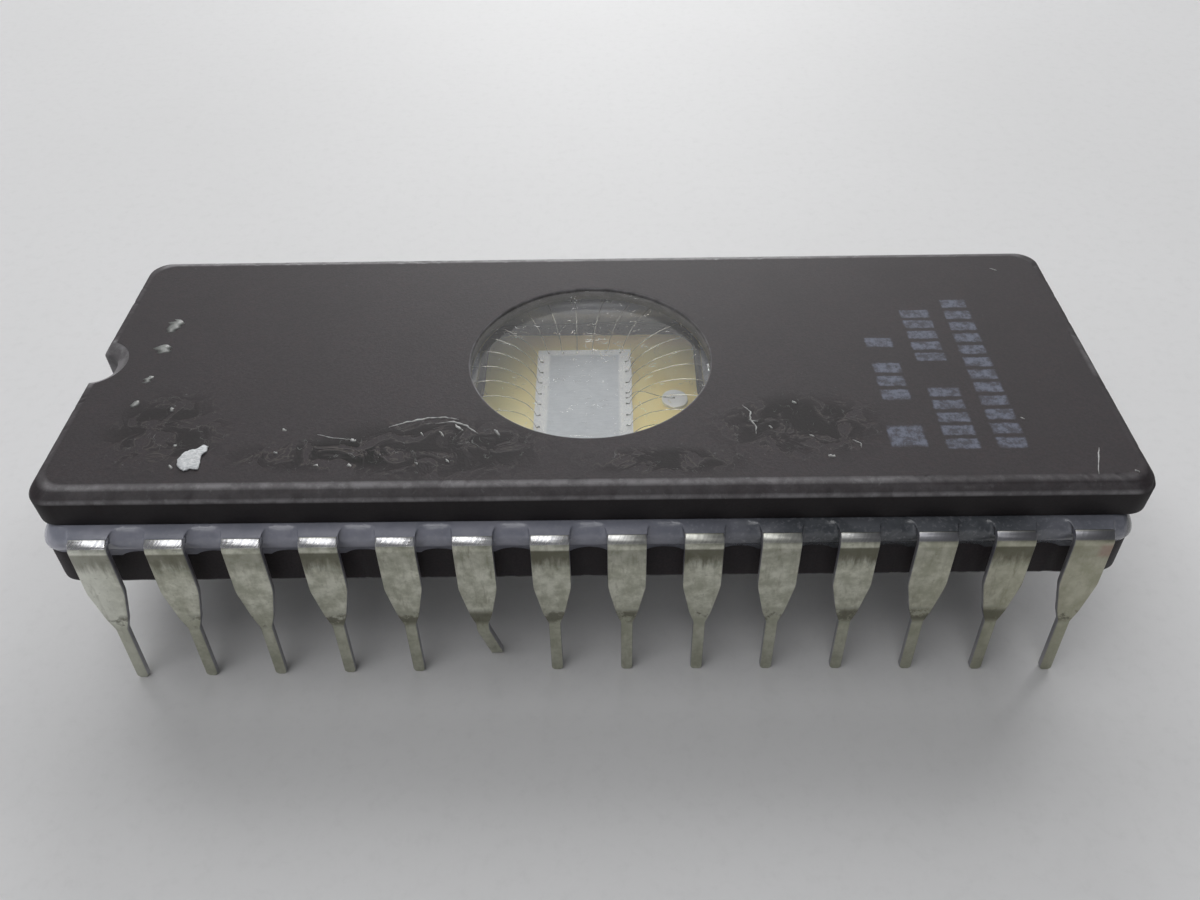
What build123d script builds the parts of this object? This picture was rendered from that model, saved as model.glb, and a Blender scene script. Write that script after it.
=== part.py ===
from build123d import *
import os
from math import radians, tan

# Windowed ceramic dual in-line package, in millimetres.
# X runs along the package with the notch end at -X, and Z is up.
# The origin lies on the surface that the lead tips stand on, below the middle of the package.

# Lead rows
leads_per_row = 14
lead_pitch = 2.54
lead_thickness = 0.25
lead_width = 1.30
neck_width = 0.76
tip_width = 0.42
taper_height = 4.45
neck_height = 3.12
narrow_height = 2.62
taper_radius = 1.20
neck_radius = 0.25
tip_chamfer = 0.10
shoulder_reach = 0.72
bend_inner_radius = 0.15
splay_angle = 2.2
end_extra_splay = 1.55

# Lead fingers inside the seal
finger_width = 0.60
finger_tip_width = 0.46
finger_root_run = 0.55
finger_knee_run = 0.40
end_fingers_per_quadrant = 4
end_row_inset = 1.07
side_row_inset = 0.95
fan_depth_at_ends = 1.60
fan_depth_at_sides = 0.55
finger_tip_setback = 0.25

# Leads that were bent in handling
bent_leads = (6,)
bent_tip_inward = 0.86
bent_tip_sideways = 0.28
bent_tip_height = 0.13
bent_radius = 0.90
bent_start_run = 0.30

# Ceramic base, its seal face up
standoff = 3.81
base_end_land = 1.955
base_width = 14.40
base_thickness = 1.90
base_shift = -0.12

# Ceramic lid, its seal face down
lid_end_overhang = 0.075
lid_side_setback = 0.12
lid_thickness = 1.34
lid_shift = 0.05

# Pressed edges that the base and the lid share
corner_radius = 0.80
bevel_height = 0.28
side_bevel = 0.45
end_bevel = 0.26
press_draft = 0.02

# Index notch at the -X end
notch_radius = 0.85
notch_mouth_radius = 1.35
notch_offset = 0.11

# Glass seal round the lead frame
glass_under_leads = 0.76
glass_over_leads = 0.08
glass_setback = 0.03
glass_bulge = 0.05
glass_bulge_height = 0.35
glass_shelf = 0.12
glass_notch_gap = 0.10
collar_margin = 0.26
collar_reach = 0.28
collar_drop = 0.34
collar_end_margin = 0.04

# Window lens fused into the lid
window_diameter = 8.89
lens_rim_drop = 0.14
lens_crown = 0.06

# Cavity in the base and the recess over it in the lid
cavity_end_step = 0.245
cavity_side_land = 2.70
cavity_depth = 0.50
cavity_corner = 1.00
recess_margin = 1.10
recess_depth = 0.30

# Die and what it is bonded to
pad_thickness = 0.05
pad_edge_gap = 0.05
die_length = 3.70
die_side_gap = 1.55
die_thickness = 0.40
die_offset = -0.25
disc_diameter = 1.00
disc_thickness = 0.12
disc_end_gap = 0.96
disc_y = 0.33

# Bond wires
wire_diameter = 0.032
wire_sides = 6
wire_foot = 0.14
wire_edge_inset = 0.10
wire_loop_height = 0.22
wire_loop_reach = 0.75
wire_bend_radius = 0.12
disc_loop_height = 0.30
end_pad_inset = 0.78
side_pad_inset = 0.45

# Levels worked out from the stack
seal_floor = standoff + base_thickness
lead_bottom = seal_floor + glass_under_leads
lead_top = lead_bottom + lead_thickness
seal_ceiling = lead_top + glass_over_leads
lid_top = seal_ceiling + lid_thickness
cavity_floor = seal_floor - cavity_depth
pad_top = cavity_floor + pad_thickness
die_top = pad_top + die_thickness
recess_ceiling = seal_ceiling + recess_depth

# Sizes worked out from the rows, the base and the window
row_length = lead_pitch * (leads_per_row - 1)
base_length = row_length + 2 * base_end_land
lid_length = base_length + 2 * lid_end_overhang
lid_width = base_width - 2 * lid_side_setback
cavity_length = window_diameter - 2 * cavity_end_step
cavity_width = base_width - 2 * cavity_side_land
die_width = cavity_width - 2 * die_side_gap
disc_x = cavity_length / 2 - disc_end_gap

# Places worked out from the rows and the base
first_lead_x = -row_length / 2
shoulder_y = -base_width / 2 - shoulder_reach
strip_root_y = finger_root_run - base_width / 2
knee_y = strip_root_y + finger_knee_run
quadrant_leads = leads_per_row // 2
end_spaces = 2 * end_fingers_per_quadrant - 1
side_spaces = 2 * (quadrant_leads - end_fingers_per_quadrant) - 1
end_finger_pitch = (cavity_width - 2 * end_row_inset) / end_spaces
side_finger_pitch = (cavity_length - 2 * side_row_inset) / side_spaces
end_pad_pitch = (die_width - 2 * end_pad_inset) / end_spaces
side_pad_pitch = (die_length - 2 * side_pad_inset) / side_spaces


def pressed_block(length, width, thickness):
    """A pressed tile on its seal face: drafted walls up to the punch line, then a bevel to its back."""
    seal_face = RectangleRounded(length - 2 * press_draft, width - 2 * press_draft, corner_radius)
    punch_line = RectangleRounded(length, width, corner_radius)
    back_face = RectangleRounded(length - 2 * end_bevel, width - 2 * side_bevel, corner_radius)
    return loft(
        [seal_face, Pos(Z=thickness - bevel_height) * punch_line, Pos(Z=thickness) * back_face],
        ruled=True,
    )


def notch_cutter(length, thickness):
    """Half-round index notch, flared where it meets the bevel."""
    wall = Cylinder(notch_radius, thickness, align=(Align.CENTER, Align.CENTER, Align.MIN))
    mouth = Pos(Z=thickness - bevel_height) * Cone(
        notch_radius, notch_mouth_radius, bevel_height, align=(Align.CENTER, Align.CENTER, Align.MIN)
    )
    return Pos(-length / 2 - notch_offset) * (wall + mouth)


def cavity_outline(margin):
    """The cavity's rounded outline, grown by a margin."""
    return RectangleRounded(
        cavity_length + 2 * margin, cavity_width + 2 * margin, cavity_corner + margin
    )


def ceramic_base():
    """Base tile with its back down and the die cavity in its seal face."""
    tile = pressed_block(base_length, base_width, base_thickness)
    tile -= notch_cutter(base_length, base_thickness)
    tile = Pos(base_shift, 0, seal_floor) * mirror(tile, about=Plane.XY)
    return tile - Pos(Z=cavity_floor) * extrude(cavity_outline(0), cavity_depth)


def ceramic_lid():
    """Lid tile with the window hole and, under it, the recess that clears the wires."""
    tile = pressed_block(lid_length, lid_width, lid_thickness)
    tile -= notch_cutter(lid_length, lid_thickness)
    tile -= extrude(Circle(window_diameter / 2), lid_thickness)
    tile = Pos(lid_shift, 0, seal_ceiling) * tile
    return tile - Pos(Z=seal_ceiling) * extrude(cavity_outline(recess_margin), recess_depth)


def window_lens():
    """Clear disc with a slightly crowned top, flush with the ceiling of the lid's recess."""
    rim = (window_diameter / 2, lid_top - lens_rim_drop)
    crown = (0, lid_top - lens_rim_drop + lens_crown)
    mirrored_rim = (-rim[0], rim[1])
    foot = (rim[0], recess_ceiling)
    section = make_face(
        Line((0, recess_ceiling), foot)
        + Line(foot, rim)
        + ThreePointArc(rim, crown, mirrored_rim).trim(0, 0.5)
        + Line(crown, (0, recess_ceiling))
    )
    return Pos(lid_shift) * revolve(Plane.XZ * section, Axis.Z)


def lead_x(lead):
    """Place of a near-row lead along the package."""
    return first_lead_x + lead_pitch * (lead - 1)


def leg_slope(lead):
    """Outward lean of a leg; the legs towards the ends of a row lean a little more."""
    return tan(radians(splay_angle + end_extra_splay * (lead_x(lead) / first_lead_x) ** 2))


def leg_tip_y(lead):
    """Outer face of a near-row lead at its tip."""
    return shoulder_y - lead_top * leg_slope(lead)


def leg_side_view(lead):
    """Flat run, bend and splayed leg of a near-row lead, seen along X."""
    outer_face = FilletPolyline(
        (strip_root_y, lead_top),
        (shoulder_y, lead_top),
        (leg_tip_y(lead), 0),
        radius=bend_inner_radius + lead_thickness,
    )
    return Plane.YZ * make_face(offset(outer_face, lead_thickness, side=Side.LEFT))


def leg_front_view():
    """Outline of a lead seen along Y: wide shoulder, taper, neck and narrow tip."""
    half = [
        (lead_width / 2, lead_top, 0),
        (lead_width / 2, taper_height, taper_radius),
        (neck_width / 2, neck_height, neck_radius),
        (tip_width / 2, narrow_height, neck_radius),
        (tip_width / 2, tip_chamfer, 0),
        (tip_width / 2 - tip_chamfer, 0, 0),
    ]
    other_half = [(-x, z, radius) for x, z, radius in reversed(half)]
    corners = half + other_half
    outline = FilletPolyline(
        *[(x, z) for x, z, _ in corners],
        radius=[radius for _, _, radius in corners],
        close=True,
    )
    return Plane.XZ * make_face(outline)


def straight_leg(lead):
    """Formed leg of a near-row lead, centred on X = 0."""
    strip = extrude(leg_side_view(lead), lead_width / 2, both=True)
    return strip & extrude(leg_front_view(), base_width, both=True)


def bent_leg(lead):
    """The same leg with its narrow end pushed inward and to one side."""
    leg_direction = Vector(0, -leg_slope(lead), -1).normalized()
    inward = Vector(1, 0, 0).cross(leg_direction)
    outer_point = Vector(0, leg_tip_y(lead) + narrow_height * leg_slope(lead), narrow_height)
    centre = outer_point + inward * (lead_thickness / 2)
    section_plane = Plane(origin=centre, x_dir=(1, 0, 0), z_dir=leg_direction)
    upper = split(straight_leg(lead), bisect_by=section_plane, keep=Keep.BOTTOM)
    corner = centre + leg_direction * bent_start_run
    end = Vector(bent_tip_sideways, leg_tip_y(lead) + bent_tip_inward, bent_tip_height)
    route = FilletPolyline(centre, corner, end, radius=bent_radius)
    section = section_plane * Rectangle(tip_width, lead_thickness)
    return upper + sweep(section, path=route)


def finger_route(lead):
    """Centre line of a finger in the near left quadrant, from the body's edge to the cavity."""
    if lead <= end_fingers_per_quadrant:
        tip_row_y = -end_finger_pitch * (lead - 0.5)
        fan = (-cavity_length / 2 - fan_depth_at_ends, tip_row_y)
        tip = (-cavity_length / 2 - finger_tip_setback, tip_row_y)
    else:
        column_x = -side_finger_pitch * (quadrant_leads - lead + 0.5)
        fan = (column_x, -cavity_width / 2 - fan_depth_at_sides)
        tip = (column_x, -cavity_width / 2 - finger_tip_setback)
    root = (lead_x(lead), strip_root_y)
    knee = (lead_x(lead), knee_y)
    return [Vector(*point) for point in (root, knee, fan, tip)]


def ribbon(centres, widths):
    """Flat outline that follows a centre line, with its own width at each point."""
    directions = [(after - before).normalized() for before, after in zip(centres, centres[1:])]
    arriving = directions[:1] + directions
    leaving = directions + directions[-1:]
    left, right = [], []
    for centre, width, before, after in zip(centres, widths, arriving, leaving):
        across = (before + after).normalized().rotate(Axis.Z, 90)
        mitre = across * (width / 2 / across.dot(before.rotate(Axis.Z, 90)))
        left.append(centre + mitre)
        right.append(centre - mitre)
    return Polygon(*left, *reversed(right), align=None)


def finger(lead):
    """The flat part of a lead that lies in the seal."""
    widths = (lead_width, finger_width, finger_width, finger_tip_width)
    outline = ribbon(finger_route(lead), widths)
    return Pos(Z=lead_bottom) * extrude(outline, lead_thickness, dir=(0, 0, 1))


def quadrant_lead(lead, leg):
    """One lead of the near left quadrant."""
    return finger(lead) + Pos(lead_x(lead)) * leg


def lead_frame():
    """All leads by number, counted along the near row and back along the far row."""
    leads = {}
    for lead in range(1, quadrant_leads + 1):
        near_left = quadrant_lead(lead, straight_leg(lead))
        near_right = mirror(near_left, about=Plane.YZ)
        leads[lead] = near_left
        leads[leads_per_row + 1 - lead] = near_right
        leads[leads_per_row + lead] = mirror(near_right, about=Plane.XZ)
        leads[2 * leads_per_row + 1 - lead] = mirror(near_left, about=Plane.XZ)
    for lead in bent_leads:
        leads[lead] = quadrant_lead(lead, bent_leg(lead))
    return leads


def glass_collar():
    """Glass drawn up round a near-row lead where it leaves the seal, centred on X = 0."""
    root_y = press_draft + glass_setback - base_width / 2
    root_width = lead_width + 2 * collar_margin
    end_width = lead_width + 2 * collar_end_margin
    root_bottom = lead_bottom - collar_drop
    end_bottom = lead_bottom - collar_end_margin
    end_top = lead_top + collar_end_margin
    root = Rectangle(root_width, seal_ceiling - root_bottom, align=(Align.CENTER, Align.MIN))
    end = Rectangle(end_width, end_top - end_bottom, align=(Align.CENTER, Align.MIN))
    root_plane = Plane(origin=(0, root_y, root_bottom), x_dir=(1, 0, 0), z_dir=(0, -1, 0))
    end_plane = Plane(origin=(0, root_y - collar_reach, end_bottom), x_dir=(1, 0, 0), z_dir=(0, -1, 0))
    return loft([root_plane * root, end_plane * end])


def sealing_glass(leads):
    """Glass between base and lid, moulded round every lead."""
    def outline(length, width, growth):
        return RectangleRounded(length + 2 * growth, width + 2 * growth, corner_radius)

    seam_inset = -press_draft - glass_setback
    bulge = glass_bulge - press_draft
    seam = [
        Pos(base_shift, 0, seal_floor) * outline(base_length, base_width, seam_inset),
        Pos(base_shift, 0, seal_floor + glass_bulge_height) * outline(base_length, base_width, bulge),
        Pos(lid_shift, 0, seal_ceiling) * outline(lid_length, lid_width, seam_inset),
    ]
    glass = loft(seam, ruled=True)
    near_collars = [Pos(lead_x(lead)) * glass_collar() for lead in range(1, leads_per_row + 1)]
    glass += near_collars
    glass += [mirror(collar, about=Plane.XZ) for collar in near_collars]
    glass -= Pos(Z=seal_floor) * extrude(cavity_outline(glass_shelf), lead_top - seal_floor)
    glass -= Pos(Z=lead_top) * extrude(cavity_outline(recess_margin), glass_over_leads)
    notch = extrude(Circle(notch_radius - glass_notch_gap), seal_ceiling - seal_floor)
    glass -= Pos(lid_shift - lid_length / 2 - notch_offset, 0, seal_floor) * notch
    return glass - list(leads.values())


def die_attach_pad():
    """Metallised floor of the cavity."""
    return Pos(Z=cavity_floor) * extrude(cavity_outline(-pad_edge_gap), pad_thickness)


def eprom_die():
    """Silicon die on the pad."""
    return Pos(die_offset, 0, pad_top) * extrude(Rectangle(die_length, die_width), die_thickness)


def ground_disc():
    """Small disc on the pad that takes the substrate wire."""
    return Pos(disc_x, disc_y, pad_top) * extrude(Circle(disc_diameter / 2), disc_thickness)


def bond_wire(start, end, loop_height):
    """Round wire that lies on a pad, rises to a loop above its far end and comes down to lie there."""
    lift = Vector(0, 0, wire_diameter / 2)
    start, end = start + lift, end + lift
    along = Vector(end.X - start.X, end.Y - start.Y, 0).normalized()
    loop = start + along * (wire_foot + wire_loop_reach)
    loop.Z = max(start.Z, end.Z) + loop_height
    route = FilletPolyline(
        start, start + along * wire_foot, loop, end - along * wire_foot, end, radius=wire_bend_radius
    )
    section = RegularPolygon(wire_diameter / 2, wire_sides)
    return sweep(Plane(origin=start, z_dir=along) * section, path=route)


def quadrant_wire(lead):
    """Bond wire of a lead in the near left quadrant, from the die's rim to the finger's tip."""
    fan, tip = finger_route(lead)[2:]
    finger_end = tip + (fan - tip).normalized() * (wire_edge_inset + wire_foot)
    rim_x = wire_edge_inset + wire_foot - die_length / 2
    rim_y = wire_edge_inset + wire_foot - die_width / 2
    if lead <= end_fingers_per_quadrant:
        pad = (rim_x, -end_pad_pitch * (lead - 0.5))
    else:
        pad = (-side_pad_pitch * (quadrant_leads - lead + 0.5), rim_y)
    return pad, finger_end


def bond_wires():
    """One wire for each lead and one from the die to the ground disc."""
    wires = []
    for lead in range(1, quadrant_leads + 1):
        pad, finger_end = quadrant_wire(lead)
        for side_x in (-1, 1):
            for side_y in (-1, 1):
                start = Vector(die_offset - side_x * pad[0], -side_y * pad[1], die_top)
                end = Vector(-side_x * finger_end.X, -side_y * finger_end.Y, lead_top)
                wires.append(bond_wire(start, end, wire_loop_height))
    disc_pad = Vector(die_offset + die_length / 2 - wire_edge_inset - wire_foot, 0, die_top)
    disc_top = Vector(disc_x, disc_y, pad_top + disc_thickness)
    wires.append(bond_wire(disc_pad, disc_top, disc_loop_height))
    return Compound(children=wires)


def build_nodes():
    """Every piece of the package by its name."""
    leads = lead_frame()
    nodes = {
        "ceramic_base": ceramic_base(),
        "ceramic_lid": ceramic_lid(),
        "window_lens": window_lens(),
        "sealing_glass": sealing_glass(leads),
        "die_attach_pad": die_attach_pad(),
        "eprom_die": eprom_die(),
        "ground_disc": ground_disc(),
        "bond_wires": bond_wires(),
    }
    for number, lead in sorted(leads.items()):
        nodes[f"lead_{number:02d}"] = lead
    return nodes


os.makedirs("parts", exist_ok=True)
for name, shape in build_nodes().items():
    export_step(shape, f"parts/{name}.step")
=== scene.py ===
from math import atan2, cos, exp, hypot, pi, radians, sin
from random import Random

import bmesh
import bpy
from mathutils import Euler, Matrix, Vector
from mathutils.geometry import tessellate_polygon


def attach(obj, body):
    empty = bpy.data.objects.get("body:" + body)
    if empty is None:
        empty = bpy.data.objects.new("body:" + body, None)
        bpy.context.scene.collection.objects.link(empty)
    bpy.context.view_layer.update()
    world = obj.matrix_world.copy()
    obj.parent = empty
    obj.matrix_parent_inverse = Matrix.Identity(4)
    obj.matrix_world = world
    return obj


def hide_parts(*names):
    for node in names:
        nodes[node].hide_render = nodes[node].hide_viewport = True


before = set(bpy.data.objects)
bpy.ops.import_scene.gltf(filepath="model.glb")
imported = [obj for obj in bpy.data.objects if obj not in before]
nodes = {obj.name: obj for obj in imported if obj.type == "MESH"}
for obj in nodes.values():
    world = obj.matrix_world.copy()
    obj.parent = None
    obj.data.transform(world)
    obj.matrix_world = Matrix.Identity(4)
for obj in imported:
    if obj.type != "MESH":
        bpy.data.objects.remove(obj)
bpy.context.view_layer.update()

# Every size below is in millimetres in the CAD frame and becomes metres when a mesh is made.
MM = 0.001

# Sizes repeated from the CAD model
LEADS_PER_ROW = 14
LEAD_PITCH = 2.54
LEAD_HALF_WIDTH = 0.65
LEAD_BOTTOM, LEAD_TOP = 6.47, 6.72
LEAD_BEND_RADIUS = 0.40
SEAL_FLOOR, SEAL_CEILING = 5.71, 6.80
BASE_BOTTOM, LID_TOP = 3.81, 8.14
RECESS_CEILING, CAVITY_FLOOR = 7.10, 5.21
BASE_SIZE, BASE_SHIFT = (36.93, 14.40), -0.12
LID_SIZE, LID_SHIFT = (37.08, 14.16), 0.05
TILE_CORNER = 0.80
PRESS_DRAFT = 0.02
END_BEVEL, SIDE_BEVEL, BEVEL_HEIGHT = 0.26, 0.45, 0.28
NOTCH_RADIUS, NOTCH_MOUTH, NOTCH_OFFSET = 0.85, 1.35, 0.11
CAVITY_SIZE, CAVITY_CORNER = (8.40, 9.00), 1.00
RECESS_MARGIN = 1.10
WINDOW_RADIUS = 4.445
DIE_OFFSET, DIE_TOP, DISC_TOP = -0.25, 5.66, 5.38

# Seeds of the random wear on each piece
LID_SEED, BASE_SEED, SEAL_SEED, COLLAR_SEED = 3, 8, 11, 5
WIRE_SEED, FLECK_SEED, SCRAP_SEED = 17, 21, 4


# Meshes

def added(name, data):
    """A new object in the scene."""
    item = bpy.data.objects.new(name, data)
    bpy.context.scene.collection.objects.link(item)
    return item


class Shape:
    """Points, faces, and edge scuffing with painted light, of one piece while it is put together.
    """

    def __init__(self):
        self.points, self.faces, self.flat, self.wear_and_light = [], [], [], []

    def loop(self, points, wear_and_light=0.0):
        first = len(self.points)
        self.points += points
        self.wear_and_light += [wear_and_light] * len(points)
        return list(range(first, len(self.points)))

    def band(self, low, high, closed=True):
        """Quads between two rows of points of the same length."""
        count = len(low)
        for i in range(count if closed else count - 1):
            j = (i + 1) % count
            self.faces.append((low[i], low[j], high[j], high[i]))

    def skin(self, loops):
        """Bands from each loop to the next."""
        for low, high in zip(loops, loops[1:]):
            self.band(low, high)

    def fill(self, *loops):
        """Flat face inside the first loop and outside the others."""
        order = [i for loop in loops for i in loop]
        outlines = [[Vector(self.points[i]) for i in loop] for loop in loops]
        for triangle in tessellate_polygon(outlines):
            self.flat.append(len(self.faces))
            self.faces.append(tuple(order[i] for i in triangle))

    def flat_ring(self, outer, inner):
        """Flat face, in spokes, between two loops that both turn once round the Z axis."""
        past_last = 4.0

        def turns(loop):
            angles = [atan2(self.points[i][1], self.points[i][0]) for i in loop]
            first = angles.index(min(angles))
            return loop[first:] + loop[:first], sorted(angles) + [past_last]

        (outer, far), (inner, near) = turns(outer), turns(inner)
        i = j = 0
        while i < len(outer) or j < len(inner):
            a, b = outer[i % len(outer)], inner[j % len(inner)]
            self.flat.append(len(self.faces))
            if j == len(inner) or (i < len(outer) and far[i + 1] <= near[j + 1]):
                i += 1
                self.faces.append((a, outer[i % len(outer)], b))
            else:
                j += 1
                self.faces.append((a, inner[j % len(inner)], b))

    def piece(self, name, material):
        mesh = bpy.data.meshes.new(name)
        mesh.from_pydata([Vector(p) * MM for p in self.points], [], self.faces)
        flat = set(self.flat)
        smooth = [i not in flat for i in range(len(mesh.polygons))]
        mesh.polygons.foreach_set("use_smooth", smooth)
        mesh.attributes.new("wear_and_light", "FLOAT", "POINT").data.foreach_set("value", self.wear_and_light)
        work = bmesh.new()
        work.from_mesh(mesh)
        bmesh.ops.recalc_face_normals(work, faces=work.faces)
        work.to_mesh(mesh)
        work.free()
        mesh.materials.append(material)
        return added(name, mesh)


def place(piece, slot, *replaced):
    """The piece rides on the only body and stands for the CAD nodes that it hides; its slot is not
    used.
    """
    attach(piece, "root")
    if replaced:
        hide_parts(*replaced)


def arc(cx, cy, radius, start, end, count):
    step = (end - start) / count
    return [(cx + radius * cos(start + step * i), cy + radius * sin(start + step * i))
            for i in range(count)]


def run(start, end, count):
    return [(start[0] + (end[0] - start[0]) * i / count,
             start[1] + (end[1] - start[1]) * i / count) for i in range(count)]


def bezier(a, b, c, t):
    return tuple(p * (1 - t) ** 2 + 2 * q * t * (1 - t) + r * t * t for p, q, r in zip(a, b, c))


CIRCLE_POINTS = 128
RECTANGLE_CORNER_POINTS = 8


def circle(radius, z):
    """Circle round the window's axis."""
    return [(LID_SHIFT + x, y, z) for x, y in arc(0, 0, radius, 0, 2 * pi, CIRCLE_POINTS)]


def rounded_rectangle(size, margin, corner, z):
    half_x, half_y = size[0] / 2 + margin - corner, size[1] / 2 + margin - corner
    points = []
    for turn, (sx, sy) in enumerate(((1, 1), (-1, 1), (-1, -1), (1, -1))):
        first, last = turn * pi / 2, (turn + 1) * pi / 2
        points += arc(sx * half_x, sy * half_y, corner, first, last, RECTANGLE_CORNER_POINTS)
        points.append((sx * half_x + corner * cos(last), sy * half_y + corner * sin(last)))
    return [(x, y, z) for x, y in points]


# Ceramic tiles: points along their outline
NOTCH_POINTS, CORNER_POINTS = 18, 12
SIDE_POINTS, END_POINTS = 520, 180

# Rounding of a tile's three edges: at its seal face, at the bevel's foot and at its back's rim
LEVELS_PER_EDGE = 6
FOOT_ROUND, FOOT_HEIGHT = 0.09, 0.06
RIDGE_EASE, RIDGE_DROP, RIDGE_SHARE = 0.003, 0.10, 0.24
RIM_SHARE, RIM_REACH = 0.72, 0.20

# Scuffing of those edges and of the lid's notch, and painted light on the bevel between them
FOOT_WEAR, EDGE_WEAR, BEVEL_PAINTED_LIGHT, NOTCH_WEAR = 0.15, 1.0, 0.22, 0.9
EDGE_CHIPS, CHIP_DEPTH, CHIP_DROP = 150, 0.06, 0.6

# The lid's window hole: radius, height and painted light at each level, which pales the shaded
# bore wall
BORE = ((WINDOW_RADIUS + 0.07, LID_TOP, 0.0), (WINDOW_RADIUS + 0.03, LID_TOP - 0.012, 0.9),
        (WINDOW_RADIUS, LID_TOP - 0.06, 1.0), (WINDOW_RADIUS, LID_TOP - 0.20, 1.0),
        (WINDOW_RADIUS, RECESS_CEILING, 0.4))

# Circle that the middle of the base's back is filled inside
BACK_CIRCLE_RADIUS, BACK_CIRCLE_POINTS = 5.0, 64


def tile_outline(size, shift, inset_x, inset_y, notch):
    """Outline of a tile, inset at its ends and sides, counter-clockwise from its index notch."""
    half_x, half_y = size[0] / 2 - inset_x, size[1] / 2 - inset_y
    left, right, r = shift - half_x, shift + half_x, TILE_CORNER
    notch_x = shift - size[0] / 2 - NOTCH_OFFSET
    mouth = (notch ** 2 - (left - notch_x) ** 2) ** 0.5
    opening = atan2(mouth, left - notch_x)
    return (
        run((left, -mouth), (left, r - half_y), END_POINTS // 2)
        + arc(left + r, r - half_y, r, pi, 1.5 * pi, CORNER_POINTS)
        + run((left + r, -half_y), (right - r, -half_y), SIDE_POINTS)
        + arc(right - r, r - half_y, r, -pi / 2, 0, CORNER_POINTS)
        + run((right, r - half_y), (right, half_y - r), END_POINTS)
        + arc(right - r, half_y - r, r, 0, pi / 2, CORNER_POINTS)
        + run((right - r, half_y), (left + r, half_y), SIDE_POINTS)
        + arc(left + r, half_y - r, r, pi / 2, pi, CORNER_POINTS)
        + run((left, half_y - r), (left, mouth), END_POINTS // 2)
        + arc(notch_x, 0, notch, opening, -opening, NOTCH_POINTS)
    )


def chip_depths(rng, count, chips, depth):
    """Depth of chipping along an edge: a faint unevenness and a number of small chips."""
    depths = [0.0] * count
    for width, size, number in ((3.0, 0.25 * depth, count // 5), (1.6, depth, chips)):
        for _ in range(number):
            centre, spread = rng.uniform(0, count), width * rng.uniform(0.5, 1.6)
            deep = size * rng.random() ** 2
            for i in range(int(centre - 3 * spread), int(centre + 3 * spread) + 1):
                here = deep * exp(-((i - centre) / spread) ** 2)
                depths[i % count] = max(depths[i % count], here)
    return depths


def tile_levels(thickness):
    """Section of a tile from its seal face to its back: insets, height and edge scuffing at each
    level, with painted light on the bevel.
    """
    ridge = thickness - BEVEL_HEIGHT

    def on_bevel(share):
        return (share * END_BEVEL, share * SIDE_BEVEL, ridge + share * BEVEL_HEIGHT)

    foot = ((FOOT_ROUND, FOOT_ROUND, 0.0), (PRESS_DRAFT, PRESS_DRAFT, 0.0),
            (PRESS_DRAFT, PRESS_DRAFT, FOOT_HEIGHT))
    bend = ((RIDGE_EASE, RIDGE_EASE, ridge - RIDGE_DROP), (0.0, 0.0, ridge), on_bevel(RIDGE_SHARE))
    rim = (on_bevel(RIM_SHARE), on_bevel(1.0),
           (END_BEVEL + RIM_REACH, SIDE_BEVEL + RIM_REACH, thickness))
    levels = []
    for corner, wear_and_light in ((foot, FOOT_WEAR), (bend, EDGE_WEAR), (rim, EDGE_WEAR)):
        for i in range(LEVELS_PER_EDGE):
            t = i / (LEVELS_PER_EDGE - 1)
            on_slope = t if corner is bend else 1 - t if corner is rim else 0.0
            least = BEVEL_PAINTED_LIGHT * on_slope
            levels.append((bezier(*corner, t), max(least, wear_and_light * (1 - (2 * t - 1) ** 2))))
    return levels


def tile_shell(shape, size, shift, seal_z, thickness, up, seed):
    """Outer skin of a tile; up is 1 for the lid and -1 for the base. Returns its end loops."""
    rng = Random(seed)
    loops = []
    for index, ((inset_x, inset_y, height), wear_and_light) in enumerate(tile_levels(thickness)):
        flare = max(0.0, (height - thickness + BEVEL_HEIGHT) / BEVEL_HEIGHT)
        notch = NOTCH_RADIUS + (NOTCH_MOUTH - NOTCH_RADIUS) * flare
        outline = tile_outline(size, shift, inset_x, inset_y, notch)
        inner = tile_outline(size, shift, inset_x + 1, inset_y + 1, notch + 1)
        if index % LEVELS_PER_EDGE == 0:
            chips = chip_depths(rng, len(outline), EDGE_CHIPS, CHIP_DEPTH)
        points = []
        for (x, y), (inner_x, inner_y), chip in zip(outline, inner, chips):
            depth = chip * wear_and_light
            points.append((x + (inner_x - x) * depth, y + (inner_y - y) * depth,
                           seal_z + up * (height - CHIP_DROP * depth)))
        loops.append(shape.loop(points, wear_and_light))
        if up > 0 and height < thickness:
            shape.wear_and_light[-NOTCH_POINTS:] = [max(wear_and_light, NOTCH_WEAR)] * NOTCH_POINTS
    shape.skin(loops)
    return loops[0], loops[-1]


def lid_tile(material):
    shape = Shape()
    thickness = LID_TOP - SEAL_CEILING
    foot, top = tile_shell(shape, LID_SIZE, LID_SHIFT, SEAL_CEILING, thickness, 1, LID_SEED)
    bore = [shape.loop(circle(radius, z), wear_and_light) for radius, z, wear_and_light in BORE]
    shape.skin(bore)
    shape.flat_ring(top, bore[0])
    corner = CAVITY_CORNER + RECESS_MARGIN
    recess = [shape.loop(rounded_rectangle(CAVITY_SIZE, RECESS_MARGIN, corner, z))
              for z in (SEAL_CEILING, RECESS_CEILING)]
    shape.skin(recess)
    shape.fill(foot, recess[0])
    shape.fill(recess[1], bore[-1])
    place(shape.piece("lid_tile", material), "ceramic", "ceramic_lid")


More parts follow.
